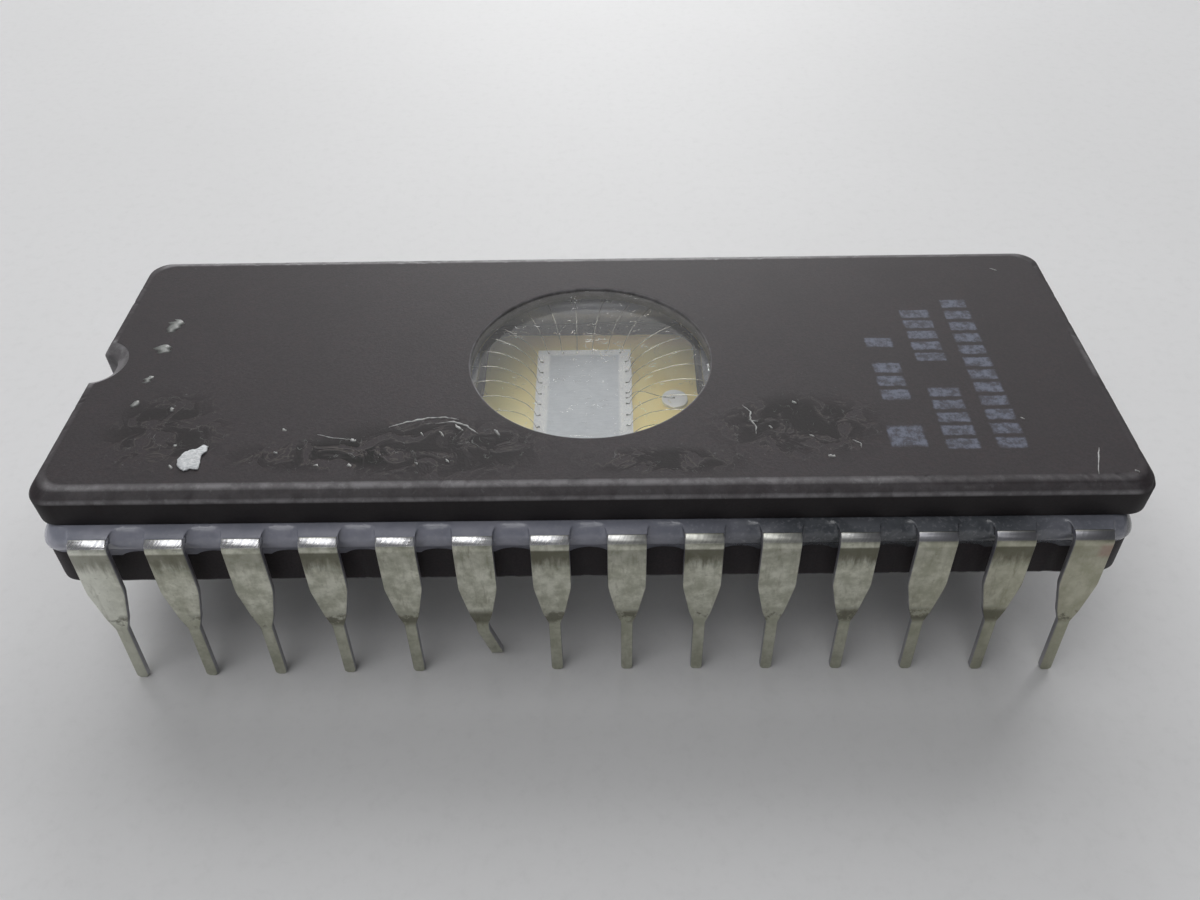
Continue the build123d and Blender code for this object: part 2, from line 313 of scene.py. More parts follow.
def base_tile(material):
    shape = Shape()
    thickness = SEAL_FLOOR - BASE_BOTTOM
    foot, back = tile_shell(shape, BASE_SIZE, BASE_SHIFT, SEAL_FLOOR, thickness, -1, BASE_SEED)
    cavity = [shape.loop(rounded_rectangle(CAVITY_SIZE, 0, CAVITY_CORNER, z))
              for z in (SEAL_FLOOR, CAVITY_FLOOR)]
    shape.skin(cavity)
    shape.fill(foot, cavity[0])
    shape.fill(cavity[1])
    ring = arc(0, 0, BACK_CIRCLE_RADIUS, 0, 2 * pi, BACK_CIRCLE_POINTS)
    middle = shape.loop([(x, y, BASE_BOTTOM) for x, y in ring])
    shape.flat_ring(back, middle)
    shape.fill(middle)
    place(shape.piece("base_tile", material), "ceramic", "ceramic_base")


# Seal glass: how far its skin stands in from the base's side at each height
SEAL_SKIN = ((6.796, 0.11), (6.765, 0.03), (6.70, -0.055), (6.60, -0.135), (6.48, -0.195),
             (6.34, -0.23), (6.18, -0.235), (6.04, -0.205), (5.92, -0.15), (5.82, -0.085),
             (5.74, -0.03), (5.66, 0.009))
SEAL_SHELF = 0.12
SEAL_NOTCH = NOTCH_RADIUS - 0.10
SEAL_END_LEAN, SEAL_END_BULGE = 1.0, 0.3
SEAL_UNDERSIDE_INSET, SEAL_CLEARANCE = 0.30, 0.004
LEDGE_DROP = 0.02

# Unevenness of the skin, and how far it creeps down the base's wall beside the leads
RIPPLES, RIPPLE_DEPTH, RIPPLE_SHARE = 220, 0.03, 0.3
SWELLS, SWELL_SPREAD, SWELL_HEIGHT, SWELL_FLOOR = 90, (8, 26), (-0.016, 0.02), 5.6
CREEP_AT_LEADS, CREEP_REACH, CREEP_RIPPLE = 0.20, 0.22, 0.5
CREEP_LEVEL, CREEP_TOP = SEAL_FLOOR + 0.01, SEAL_FLOOR + 0.02
SIDE_BAND = 0.4

# Glass collars: distances from the lead at which they are drawn, and their reach along it
COLLAR_STATIONS = (0.010, 0.018, 0.03, 0.045, 0.065, 0.09, 0.12, 0.16, 0.21, 0.27, 0.35, 0.45)
COLLAR_CORNER_POINTS = 11
COLLAR_REACH, COLLAR_TOP_REACH, COLLAR_CREEP = (0.16, 0.20), 0.28, (0.9, 1.15)
COLLAR_FALL, COLLAR_TOP_FALL = 0.13, 0.03
COLLAR_LIFT = 0.001


def lead_places():
    first = -LEAD_PITCH * (LEADS_PER_ROW - 1) / 2
    return [first + LEAD_PITCH * i for i in range(LEADS_PER_ROW)]


def share_between(value, low, high):
    return max(0.0, min(1.0, (value - low) / (high - low)))


def seal_inset(z):
    """Inset of the glass skin at a height, between the levels of SEAL_SKIN."""
    for (high, a), (low, b) in zip(SEAL_SKIN, SEAL_SKIN[1:]):
        if z >= low:
            return b + (a - b) * share_between(z, low, high)
    return SEAL_SKIN[-1][1]


def lead_nearness(x, y):
    """1 beside a lead and falling to 0 between leads; 0 on the package's ends."""
    if abs(y) < BASE_SIZE[1] / 2 - SIDE_BAND:
        return 0.0
    gap = min(abs(x - centre) for centre in lead_places()) - LEAD_HALF_WIDTH
    return exp(-max(0.0, gap) / CREEP_REACH)


def seal_outline(z, inset):
    """Outline of the seal at a height: its ends lean in towards the lid."""
    share = share_between(z, SEAL_FLOOR, SEAL_CEILING)
    size = (BASE_SIZE[0] - SEAL_END_LEAN * share, BASE_SIZE[1])
    shallow = max(inset, SEAL_END_BULGE * inset)
    return tile_outline(size, BASE_SHIFT, shallow, inset, SEAL_NOTCH + shallow)


def seal_ring(material):
    """Glass squeezed out between the tiles, wetting the base's wall, and its ledge inside."""
    shape = Shape()
    rng = Random(SEAL_SEED)
    count = len(seal_outline(SEAL_FLOOR, 0))
    ripple = chip_depths(rng, count, RIPPLES, RIPPLE_DEPTH)
    swell = [0.0] * count
    for _ in range(SWELLS):
        centre, spread = rng.uniform(0, count), rng.uniform(*SWELL_SPREAD)
        high = rng.uniform(*SWELL_HEIGHT)
        for i in range(count):
            swell[i] += high * exp(-((i - centre) / spread) ** 2)
    creep_height = CREEP_TOP - SEAL_SKIN[-1][0]
    loops = []
    for z, inset in SEAL_SKIN:
        middle = sin(pi * share_between(z, SWELL_FLOOR, SEAL_CEILING))
        points = []
        outlines = zip(seal_outline(z, inset), seal_outline(z, inset + 1))
        for i, ((x, y), (inner_x, inner_y)) in enumerate(outlines):
            out = -middle * (swell[i] + RIPPLE_SHARE * ripple[i])
            low = z
            if z < CREEP_LEVEL:
                dip = CREEP_AT_LEADS * lead_nearness(x, y) + CREEP_RIPPLE * ripple[i]
                low = z - dip * (CREEP_TOP - z) / creep_height
            points.append((x + (inner_x - x) * out, y + (inner_y - y) * out, low))
        loops.append(shape.loop(points))
    underside = SEAL_FLOOR + SEAL_CLEARANCE
    foot = seal_outline(SEAL_FLOOR, SEAL_UNDERSIDE_INSET)
    loops.append(shape.loop([(x, y, underside) for x, y in foot]))
    shape.skin(loops)
    ledge = LEAD_TOP - LEDGE_DROP
    inner = [shape.loop(rounded_rectangle(CAVITY_SIZE, margin, CAVITY_CORNER + margin, z))
             for margin, z in ((RECESS_MARGIN, SEAL_SKIN[0][0]), (RECESS_MARGIN, ledge),
                               (SEAL_SHELF, ledge), (SEAL_SHELF, underside))]
    shape.skin(inner)
    shape.fill(loops[0], inner[0])
    shape.fill(loops[-1], inner[-1])
    place(shape.piece("seal_ring", material), "seal_glass", "sealing_glass")


def collar_ring(distance):
    """Points round a lead's section at a distance, each with how far it points up."""
    middle = (LEAD_BOTTOM + LEAD_TOP) / 2
    half_z = (LEAD_TOP - LEAD_BOTTOM) / 2
    points = []
    for turn, (sx, sz) in enumerate(((1, 1), (-1, 1), (-1, -1), (1, -1))):
        for i in range(COLLAR_CORNER_POINTS):
            angle = (turn + i / (COLLAR_CORNER_POINTS - 1)) * pi / 2
            points.append((sx * LEAD_HALF_WIDTH + distance * cos(angle),
                           middle + sz * half_z + distance * sin(angle), sin(angle)))
    return points


def seal_collars(material):
    """Glass drawn out along each lead as a meniscus that ends where the lead bends."""
    shape = Shape()
    rng = Random(COLLAR_SEED)
    for side in (-1, 1):
        for centre in lead_places():
            reach, creep = rng.uniform(*COLLAR_REACH), rng.uniform(*COLLAR_CREEP)
            loops = []
            for distance in COLLAR_STATIONS:
                points = []
                for x, z, upward in collar_ring(distance):
                    z = min(z, SEAL_CEILING - SEAL_CLEARANCE)
                    fall = creep * (COLLAR_FALL - COLLAR_TOP_FALL * upward)
                    drawn = reach + COLLAR_TOP_REACH * max(0.0, upward)
                    out = drawn * exp(-distance / fall)
                    wall = BASE_SIZE[1] / 2 - seal_inset(z)
                    points.append((centre + x, side * (wall + out + COLLAR_LIFT), z))
                loops.append(shape.loop(points))
            shape.skin(loops)
    place(shape.piece("seal_collars", material), "seal_glass")


# Leads: what counts as one point, flat or sharp on the CAD mesh, and the rounding of its edges
MERGE_DISTANCE = 0.0005
FLAT_ANGLE, SHARP_ANGLE = radians(1.5), radians(32)
LEAD_ROUND, LEAD_ROUND_STEPS = 0.045, 2


def plated_lead(number, material):
    """A lead's CAD form with its sharp edges rounded, standing for the node."""
    node = f"lead_{number:02d}"
    mesh = nodes[node].data.copy()
    mesh.name = f"plated_{node}"
    work = bmesh.new()
    work.from_mesh(mesh)
    bmesh.ops.remove_doubles(work, verts=work.verts, dist=MERGE_DISTANCE * MM)
    bmesh.ops.dissolve_limit(work, angle_limit=FLAT_ANGLE, verts=work.verts, edges=work.edges)
    for face in work.faces:
        face.smooth = True
    work.to_mesh(mesh)
    work.free()
    mesh.materials.clear()
    mesh.materials.append(material)
    piece = added(f"plated_{node}", mesh)
    bevel = piece.modifiers.new("rounded edges", "BEVEL")
    bevel.width = LEAD_ROUND * MM
    bevel.segments = LEAD_ROUND_STEPS
    bevel.limit_method = "ANGLE"
    bevel.angle_limit = SHARP_ANGLE
    bevel.harden_normals = True
    place(piece, "lead_metal", node)


# Window lens: radius and height along its section, from its top over its rim to its foot
LENS_WET_RADIUS = WINDOW_RADIUS + 0.012
LENS_TOP, LENS_FOOT = 8.120, RECESS_CEILING
LENS_SECTION = (
    (0.8, 8.118), (1.6, 8.112), (2.4, 8.102), (3.1, 8.090), (3.6, 8.080), (3.95, 8.072),
    (4.2, 8.067), (4.38, 8.063), (4.44, 8.061), (LENS_WET_RADIUS, 8.060), (LENS_WET_RADIUS, 8.04),
    (LENS_WET_RADIUS, LENS_FOOT + 0.02), (WINDOW_RADIUS, LENS_FOOT), (4.43, LENS_FOOT),
    (4.40, LENS_FOOT), (3.0, LENS_FOOT),
)


def window_lens(material):
    """Clear lens: flat below and slightly crowned above."""
    shape = Shape()
    top = shape.loop([(LID_SHIFT, 0, LENS_TOP)])
    loops = [shape.loop(circle(radius, z)) for radius, z in LENS_SECTION]
    bottom = shape.loop([(LID_SHIFT, 0, LENS_FOOT)])
    shape.skin(loops)
    for pole, rim in ((top[0], loops[0]), (bottom[0], loops[-1])):
        for i, j in zip(rim, rim[1:] + rim[:1]):
            shape.faces.append((pole, i, j))
    place(shape.piece("lens", material), "window_glass", "window_lens")


# Bond wires: die pad and lead finger of the near left quadrant, in the plane
WIRE_ENDS = (
    tuple(((-1.61, -0.62 * (i + 0.5)), (-4.69, -0.98 * (i + 0.5))) for i in range(4))
    + tuple(((-0.56 * (i + 0.5), -2.71), (-1.30 * (i + 0.5), -4.99)) for i in range(3))
)
DISC_WIRE = ((1.36, 0.0), (3.24, 0.33))
WIRE_RADIUS, WIRE_SIDES = 0.013, 6
PRESSED_WIDE, PRESSED_HIGH = 3.6, 0.7

# Bow of a wire: length that lies flat, height, and where it rises and comes down
WIRE_FOOT = 0.14
WIRE_CLIMB, DISC_WIRE_CLIMB = 1.0, 0.55
RISE_RUN, FALL_RUN, FALL_SHARE = 0.28, 0.80, 0.42
WIRE_SWAY = 0.05
BOW_STEPS = 16


def tube(shape, points):
    """Closed round wire along a line of points, pressed flat at both ends."""
    loops = []
    for i, point in enumerate(points):
        along = (points[min(i + 1, len(points) - 1)] - points[max(i - 1, 0)]).normalized()
        across = along.cross(Vector((0, 0, 1))).normalized()
        up = across.cross(along)
        pressed = i == 0 or i == len(points) - 1
        wide, high = (PRESSED_WIDE, PRESSED_HIGH) if pressed else (1.0, 1.0)
        angles = (2 * pi * k / WIRE_SIDES for k in range(WIRE_SIDES))
        loops.append(shape.loop([
            tuple(point + (across * wide * cos(a) + up * high * sin(a)) * WIRE_RADIUS)
            for a in angles]))
    shape.skin(loops)
    shape.faces.append(tuple(loops[0]))
    shape.faces.append(tuple(loops[-1]))


def bond_loop(start, end, climb, rng):
    """A wire that lies on the die, rises steeply, bows over and comes down on its finger."""
    along = Vector((end.x - start.x, end.y - start.y, 0)).normalized()
    a, d = start + along * WIRE_FOOT, end - along * WIRE_FOOT
    b = a + along * RISE_RUN + Vector((0, 0, climb * rng.uniform(0.95, 1.1)))
    c = d - along * FALL_RUN + Vector((0, 0, FALL_SHARE * climb * rng.uniform(0.9, 1.1)))
    side = along.cross(Vector((0, 0, 1))) * rng.uniform(-WIRE_SWAY, WIRE_SWAY)
    bow = []
    for i in range(BOW_STEPS + 1):
        t = i / BOW_STEPS
        bow.append(a * (1 - t) ** 3 + (b + side) * 3 * t * (1 - t) ** 2
                   + (c + side) * 3 * t * t * (1 - t) + d * t ** 3)
    return [start] + bow + [end]


def bond_loops(material):
    shape = Shape()
    rng = Random(WIRE_SEED)
    for pad, finger in WIRE_ENDS:
        for side_x in (-1, 1):
            for side_y in (-1, 1):
                start = Vector((DIE_OFFSET - side_x * pad[0], -side_y * pad[1],
                                DIE_TOP + WIRE_RADIUS))
                end = Vector((-side_x * finger[0], -side_y * finger[1], LEAD_TOP + WIRE_RADIUS))
                tube(shape, bond_loop(start, end, WIRE_CLIMB, rng))
    start = Vector((*DISC_WIRE[0], DIE_TOP + WIRE_RADIUS))
    end = Vector((*DISC_WIRE[1], DISC_TOP + WIRE_RADIUS))
    tube(shape, bond_loop(start, end, DISC_WIRE_CLIMB, rng))
    place(shape.piece("bond_loops", material), "wire_metal", "bond_wires")


# Pale scratches and flecks on the lid: width and then points along each, on the lid's plane
FLECKS = (
    (0.13, (-6.9, -3.82), (-6.3, -3.56), (-5.6, -3.38), (-5.0, -3.33), (-4.5, -3.47)),
    (0.12, (-5.3, -3.66), (-4.7, -3.56), (-4.2, -3.78), (-3.8, -4.20)),
    (0.14, (-4.60, -3.72), (-4.42, -3.92), (-4.30, -4.05)), (0.13, (-3.22, -4.00), (-3.02, -4.30)),
    (0.10, (-5.10, -4.05), (-4.92, -4.33)), (0.09, (-5.75, -4.10), (-5.62, -4.30)),
    (0.22, (-8.10, -4.42), (-7.92, -4.52)), (0.07, (-9.3, -4.15), (-8.7, -4.35), (-8.1, -4.42)),
    (0.16, (-10.56, -3.84), (-10.42, -3.96)), (0.12, (-10.6, -5.0), (-10.48, -5.1)),
    (0.17, (-9.12, -5.68), (-8.94, -5.74)), (0.16, (-7.98, -5.62), (-7.86, -5.78)),
    (0.12, (-5.75, -5.58), (-5.66, -5.72)), (0.12, (-4.75, -5.46), (-4.62, -5.62)),
    (0.09, (5.41, -2.85), (5.65, -3.20), (5.60, -3.60), (5.78, -4.00), (5.71, -4.38)),
    (0.07, (5.55, -3.62), (5.85, -3.74)), (0.12, (7.18, -2.66), (7.30, -2.80)),
    (0.22, (8.00, -5.46), (8.22, -5.56)), (0.09, (8.95, -4.70), (9.20, -4.90), (9.16, -5.10)),
    (0.12, (7.52, -4.42), (7.68, -4.55)), (0.10, (6.20, -3.95), (6.32, -4.08)),
    (0.09, (17.04, -5.22), (16.82, -5.80), (16.60, -6.48)), (0.12, (17.84, -6.30), (17.94, -6.42)),
    (0.09, (14.90, -3.66), (15.02, -3.76)), (0.10, (16.35, 5.55), (16.60, 5.40)),
    (1.00, (-16.16, 1.80), (-16.10, 2.22), (-16.06, 2.66)), (0.80, (-16.13, 0.50), (-16.07, 1.04)),
    (0.52, (-16.18, -1.26), (-16.10, -0.84)), (0.42, (-16.22, -2.62), (-16.12, -2.24)),
    (0.20, (-14.78, -2.64), (-14.70, -2.86)), (0.17, (-14.1, -4.6), (-14.02, -4.68)),
    (0.13, (-13.98, -5.58), (-13.84, -5.80)),
)
FLECK_STEPS = 4
FLECK_LIFT, FLECK_FULL_WIDTH, FLECK_SUNK = 0.03, 0.12, 0.006

# White scrap: its outline; share of that size, lowest and highest lift of each of its rings
SCRAP = ((-13.68, -5.66), (-13.74, -5.38), (-13.66, -5.04), (-13.46, -4.93), (-13.26, -4.86),
         (-13.06, -4.66), (-12.90, -4.72), (-12.88, -5.00), (-13.02, -5.22), (-12.96, -5.50),
         (-12.94, -5.86), (-13.20, -5.82), (-13.38, -5.93), (-13.56, -5.80))
SCRAP_RINGS = ((1.0, -0.005, -0.005), (1.01, 0.02, 0.05), (0.97, 0.04, 0.07),
               (0.75, 0.05, 0.065), (0.45, 0.05, 0.07), (0.15, 0.05, 0.06))
SCRAP_STEPS, SCRAP_WOBBLE = 4, 0.018


def fleck(shape, rng, width, points):
    """A low closed ridge along a short line, pointed and ragged at its ends."""
    left, ridge, right = [], [], []
    steps = [(a, b, i / FLECK_STEPS) for a, b in zip(points, points[1:])
             for i in range(FLECK_STEPS)]
    steps.append((points[-2], points[-1], 1.0))
    for number, (a, b, t) in enumerate(steps):
        x, y = a[0] + (b[0] - a[0]) * t, a[1] + (b[1] - a[1]) * t
        length = hypot(b[0] - a[0], b[1] - a[1])
        side_x, side_y = (a[1] - b[1]) / length, (b[0] - a[0]) / length
        taper = sin(pi * (number + 0.6) / (len(steps) + 0.2)) ** 0.6
        half = width / 2 * taper * rng.uniform(0.55, 1.1)
        lift = FLECK_LIFT * min(1.0, width / FLECK_FULL_WIDTH) * taper * rng.uniform(0.6, 1.2)
        sway = width * rng.uniform(-0.15, 0.15)
        for row, across, z in ((left, sway + half, -FLECK_SUNK), (ridge, sway, lift),
                               (right, sway - half, -FLECK_SUNK)):
            row.append((x + side_x * across, y + side_y * across, LID_TOP + z))
    rows = [shape.loop(row) for row in (left, ridge, right)]
    for low, high in zip(rows, rows[1:] + rows[:1]):
        shape.band(low, high, closed=False)
    for end in (0, -1):
        shape.faces.append(tuple(row[end] for row in rows))


def lid_flecks(material):
    shape = Shape()
    rng = Random(FLECK_SEED)
    for width, *points in FLECKS:
        fleck(shape, rng, width, points)
    place(shape.piece("lid_flecks", material), "ceramic")


def stuck_scrap(material):
    """Small white scrap stuck to the lid, its torn rim a little curled."""
    shape = Shape()
    rng = Random(SCRAP_SEED)
    centre_x = sum(x for x, _ in SCRAP) / len(SCRAP)
    centre_y = sum(y for _, y in SCRAP) / len(SCRAP)
    rim = []
    for a, b in zip(SCRAP, SCRAP[1:] + SCRAP[:1]):
        for x, y in run(a, b, SCRAP_STEPS):
            wobble = rng.uniform(-SCRAP_WOBBLE, SCRAP_WOBBLE)
            rim.append((x + wobble, y - wobble))
    loops = [shape.loop([(centre_x + (x - centre_x) * share, centre_y + (y - centre_y) * share,
                          LID_TOP + rng.uniform(low, high)) for x, y in rim])
             for share, low, high in SCRAP_RINGS]
    shape.skin(loops)
    shape.fill(loops[0])
    shape.fill(loops[-1])
    place(shape.piece("stuck_scrap", material), "ceramic")


# Materials

class Shader:
    """A Principled material with short calls for the nodes that feed it, in millimetres."""

    def __init__(self, name):
        self.material = bpy.data.materials.new(name)
        self.material.use_nodes = True
        self.tree = self.material.node_tree
        self.surface = self.tree.nodes["Principled BSDF"]
        place_node = self.tree.nodes.new("ShaderNodeTexCoord")
        self.at = self.vector("SCALE", place_node.outputs["Object"], scale=1 / MM)
        self.x, self.y, self.z = self.split(self.at)

    def plug(self, socket, value):
        if isinstance(value, bpy.types.NodeSocket):
            self.tree.links.new(value, socket)
        elif isinstance(value, tuple) and len(value) == 3 and socket.type == "RGBA":
            socket.default_value = (*value, 1.0)
        else:
            socket.default_value = value

    def set(self, **values):
        for name, value in values.items():
            socket = name.replace("_", " ").title().replace("Ior", "IOR")
            self.plug(self.surface.inputs[socket], value)

    def split(self, vector):
        node = self.tree.nodes.new("ShaderNodeSeparateXYZ")
        self.plug(node.inputs[0], vector)
        return node.outputs

    def join(self, x, y, z):
        node = self.tree.nodes.new("ShaderNodeCombineXYZ")
        for socket, value in zip(node.inputs, (x, y, z)):
            self.plug(socket, value)
        return node.outputs[0]

    def vector(self, operation, a, b=None, scale=None):
        node = self.tree.nodes.new("ShaderNodeVectorMath")
        node.operation = operation
        self.plug(node.inputs[0], a)
        if b is not None:
            self.plug(node.inputs[1], b)
        if scale is not None:
            self.plug(node.inputs["Scale"], scale)
        return node.outputs[0]

    def math(self, operation, a, b=None, clamp=False):
        node = self.tree.nodes.new("ShaderNodeMath")
        node.operation = operation
        node.use_clamp = clamp
        self.plug(node.inputs[0], a)
        if b is not None:
            self.plug(node.inputs[1], b)
        return node.outputs[0]

    def times(self, first, *others, clamp=False):
        for other in others:
            first = self.math("MULTIPLY", first, other, clamp)
        return first

    def plus(self, first, *others):
        for other in others:
            first = self.math("ADD", first, other)
        return first

    def away(self, value, centre):
        """Distance of a value from a centre."""
        return self.math("ABSOLUTE", self.math("SUBTRACT", value, centre))

    def rise(self, value, low, high, start=0.0, end=1.0):
        """Smooth step of a value from start to end."""
        node = self.tree.nodes.new("ShaderNodeMapRange")
        node.interpolation_type = "SMOOTHSTEP"
        for socket, number in zip(node.inputs, (value, low, high, start, end)):
            self.plug(socket, number)
        return node.outputs[0]

    def fall(self, value, low, high):
        """Smooth step of a value from 1 to 0."""
        return self.rise(value, low, high, 1.0, 0.0)

    def within(self, value, low, high, soft):
        return self.times(self.rise(value, low - soft, low + soft),
                          self.fall(value, high - soft, high + soft))

    def spot(self, x, y, radius_x, radius_y):
        """Soft-edged ellipse on the XY plane."""
        across = self.math("DIVIDE", self.math("SUBTRACT", self.x, x), radius_x)
        along = self.math("DIVIDE", self.math("SUBTRACT", self.y, y), radius_y)
        squares = self.plus(self.times(across, across), self.times(along, along))
        return self.fall(self.math("POWER", squares, 0.5), 0.6, 1.4)

    def noise(self, scale, detail=2.0, roughness=0.5, at=None, distortion=0.0, colour=False):
        node = self.tree.nodes.new("ShaderNodeTexNoise")
        self.plug(node.inputs["Vector"], at or self.at)
        for name, value in (("Scale", scale), ("Detail", detail), ("Roughness", roughness),
                            ("Distortion", distortion)):
            self.plug(node.inputs[name], value)
        return node.outputs["Color" if colour else 0]

    def random(self, value):
        node = self.tree.nodes.new("ShaderNodeTexWhiteNoise")
        node.noise_dimensions = "1D"
        self.plug(node.inputs["W"], value)
        return node.outputs["Value"]

    def mix(self, share, a, b):
        """Colour between two colours."""
        node = self.tree.nodes.new("ShaderNodeMix")
        node.data_type = "RGBA"
        for index, value in ((0, share), (6, a), (7, b)):
            self.plug(node.inputs[index], value)
        return node.outputs[2]

    def lerp(self, share, a, b):
        """Number between two numbers."""
        node = self.tree.nodes.new("ShaderNodeMix")
        for index, value in ((0, share), (2, a), (3, b)):
            self.plug(node.inputs[index], value)
        return node.outputs[0]

    def wear_and_light(self):
        node = self.tree.nodes.new("ShaderNodeAttribute")
        node.attribute_name = "wear_and_light"
        return node.outputs["Fac"]

    def facing(self):
        """Direction of the surface, as X, Y and Z."""
        return self.split(self.tree.nodes.new("ShaderNodeNewGeometry").outputs["Normal"])

    def line(self, value, centre, width):
        """1 where a value is near a centre, for thin lines along a noise's contour."""
        return self.fall(self.away(value, centre), 0.0, width)

    def bump(self, height, depth, strength):
        node = self.tree.nodes.new("ShaderNodeBump")
        self.plug(node.inputs["Strength"], strength)
        self.plug(node.inputs["Distance"], depth * MM)
        self.plug(node.inputs["Height"], height)
        return node.outputs[0]


# Worn ink on the lid: lowest and highest X, lowest and highest Y, cell length of each field
PRINT_FIELDS = ((10.38, 11.36, -2.75, 1.05, 0.76), (10.20, 11.40, -5.25, -3.85, 1.40),
                (12.06, 13.14, -5.30, 2.80, 0.675), (13.76, 14.72, -5.30, 3.45, 0.73))
PRINT_RAG, PRINT_SOFT = 0.16, 0.05

# Smudges on the lid: centre X and Y, half length and half width
SMUDGES = ((-5.2, -4.9, 3.6, 1.4), (-14.6, -3.9, 1.9, 1.9), (-9.3, -5.2, 2.6, 0.7),
           (7.2, -3.9, 2.7, 1.5), (2.5, -5.6, 2.6, 0.6))


def print_fields(s):
    """Worn ink fields in short blocks, where the chip carries its print."""
    ragged = s.noise(3.0, 3.0, 0.7, colour=True)
    x, y, _ = s.split(s.vector("ADD", s.at, s.vector("SCALE", ragged, scale=PRINT_RAG)))
    x, y = s.math("SUBTRACT", x, PRINT_RAG / 2), s.math("SUBTRACT", y, PRINT_RAG / 2)
    shares = []
    for seed, (x_low, x_high, y_low, y_high, cell) in enumerate(PRINT_FIELDS):
        along = s.math("DIVIDE", s.math("SUBTRACT", y, y_low), cell)
        block = s.within(s.math("FRACT", along), 0.15, 0.85, 0.07)
        kept = s.rise(s.random(s.plus(s.math("FLOOR", along), 7.0 * seed + 0.5)), 0.10, 0.12)
        shares.append(s.times(s.within(x, x_low, x_high, PRINT_SOFT),
                              s.within(y, y_low, y_high, PRINT_SOFT), block, kept))
    worn = s.rise(s.noise(3.6, 4.0, 0.75), 0.38, 0.62)
    return s.times(s.plus(*shares), s.plus(s.times(worn, 0.65), 0.25))


def lid_marks(s, colour, roughness, height):
    """Smudges, tide lines, scratches, dust and print on the lid, and painted shade on its wall."""
    smudge_tone, tide_tone = (0.011, 0.0105, 0.010), (0.115, 0.100, 0.088)
    dust_tone, ink_tone = (0.22, 0.225, 0.22), (0.22, 0.25, 0.34)
    painted_wall_shade = (0.011, 0.0098, 0.0098)
    top = s.rise(s.z, LID_TOP - 0.03, LID_TOP - 0.01)
    smudged = s.plus(*(s.spot(*row) for row in SMUDGES))
    pool = s.noise(0.95, 3.0, 0.6, distortion=0.9)
    smear = s.times(top, smudged, s.rise(pool, 0.42, 0.56))
    colour = s.mix(s.times(smear, 0.6, clamp=True), colour, smudge_tone)
    roughness = s.lerp(s.times(smear, 0.7, clamp=True), roughness, 0.70)
    tide = s.times(top, smudged, s.line(pool, 0.46, 0.016))
    colour = s.mix(s.times(tide, 0.32, clamp=True), colour, tide_tone)
    curl = s.noise(0.8, 3.0, 0.55, distortion=1.8)
    scratch = s.times(s.line(curl, 0.52, 0.008), s.rise(s.noise(1.7), 0.50, 0.62),
                      s.plus(smudged, 0.02), top)
    dust = s.times(s.rise(s.noise(5.5, 3.0, 0.6), 0.70, 0.76), top, s.plus(smudged, 0.25))
    pale = s.math("MAXIMUM", s.times(scratch, 0.45), s.times(dust, 0.35))
    colour = s.mix(pale, colour, dust_tone)
    colour = s.mix(s.times(print_fields(s), top, 0.60), colour, ink_tone)
    # Painted shade: the lid's wall below its ridge is darkened.
    wall = s.times(s.fall(s.z, 7.76, 7.84), s.rise(s.z, 6.5, 6.6))
    colour = s.mix(s.times(wall, 0.55), colour, painted_wall_shade)
    return colour, roughness, s.plus(height, s.times(smear, 0.9), pale)


def ceramic(name, marked):
    """Dark brown-grey pressed ceramic with fine grain, scuffed edges and painted light on its
    bevels and window bore.
    """
    dark, light = (0.0225, 0.0180, 0.0205), (0.0400, 0.0325, 0.0365)
    brown, cold = (0.046, 0.029, 0.031), (0.021, 0.0185, 0.020)
    rubbed_and_lit_tone, nick_tone = (0.27, 0.262, 0.272), (0.30, 0.30, 0.305)
    s = Shader(name)
    grain = s.noise(11.0, 3.0, 0.75)
    cloud = s.noise(0.45, 3.0, 0.6)
    tint = s.noise(4.5)
    colour = s.mix(s.rise(grain, 0.3, 0.7), dark, light)
    colour = s.mix(s.times(s.rise(tint, 0.45, 0.75), 0.30), colour, brown)
    colour = s.mix(s.times(s.rise(cloud, 0.35, 0.7), 0.30), colour, cold)
    roughness = s.lerp(grain, 0.50, 0.66)
    height = grain
    # Paler where the edges are scuffed, and painted light on the bevels and on the shaded window
    # bore.
    rubbed_and_lit = s.times(s.wear_and_light(), s.rise(s.noise(1.3, 4.0, 0.7), 0.38, 0.62, 0.55, 1.0))
    ends = s.times(s.rise(s.math("ABSOLUTE", s.x), 17.6, 18.1),
                   s.rise(s.math("ABSOLUTE", s.y), 1.3, 1.6))
    rubbed_and_lit = s.times(rubbed_and_lit, s.rise(ends, 0.0, 1.0, 1.0, 0.25))
    rim = s.times(s.rise(s.z, LID_TOP - 0.14, LID_TOP - 0.06), s.rise(s.x, 8.0, 12.5))
    rubbed_and_lit = s.times(rubbed_and_lit, s.rise(rim, 0.0, 1.0, 1.0, 0.45))
    if marked:
        colour, roughness, height = lid_marks(s, colour, roughness, height)
    nick = s.rise(s.noise(3.4, 3.0, 0.7), 0.60, 0.70)
    # Paler tone for scuffed edges, which also paints light on the bevels and the window bore.
    colour = s.mix(s.times(rubbed_and_lit, 0.9), colour, rubbed_and_lit_tone)
    colour = s.mix(s.times(rubbed_and_lit, nick, 0.6), colour, nick_tone)
    s.set(base_color=colour, roughness=roughness, specular_ior_level=0.27,
          normal=s.bump(height, 0.010, 0.8))
    return s.material


def dried_residue():
    """Pale dried residue, slightly glossy, and duller by the lid's notched end."""
    s = Shader("dried_residue")
    patches = s.rise(s.noise(4.0, 3.0, 0.7), 0.3, 0.6)
    tone = s.mix(patches, (0.19, 0.19, 0.185), (0.50, 0.505, 0.50))
    tone = s.mix(s.rise(s.x, -16.0, -15.4, 0.75, 0.0), tone, (0.20, 0.21, 0.20))
    s.set(base_color=tone, roughness=0.45, normal=s.bump(s.noise(12.0), 0.006, 0.6))
    return s.material


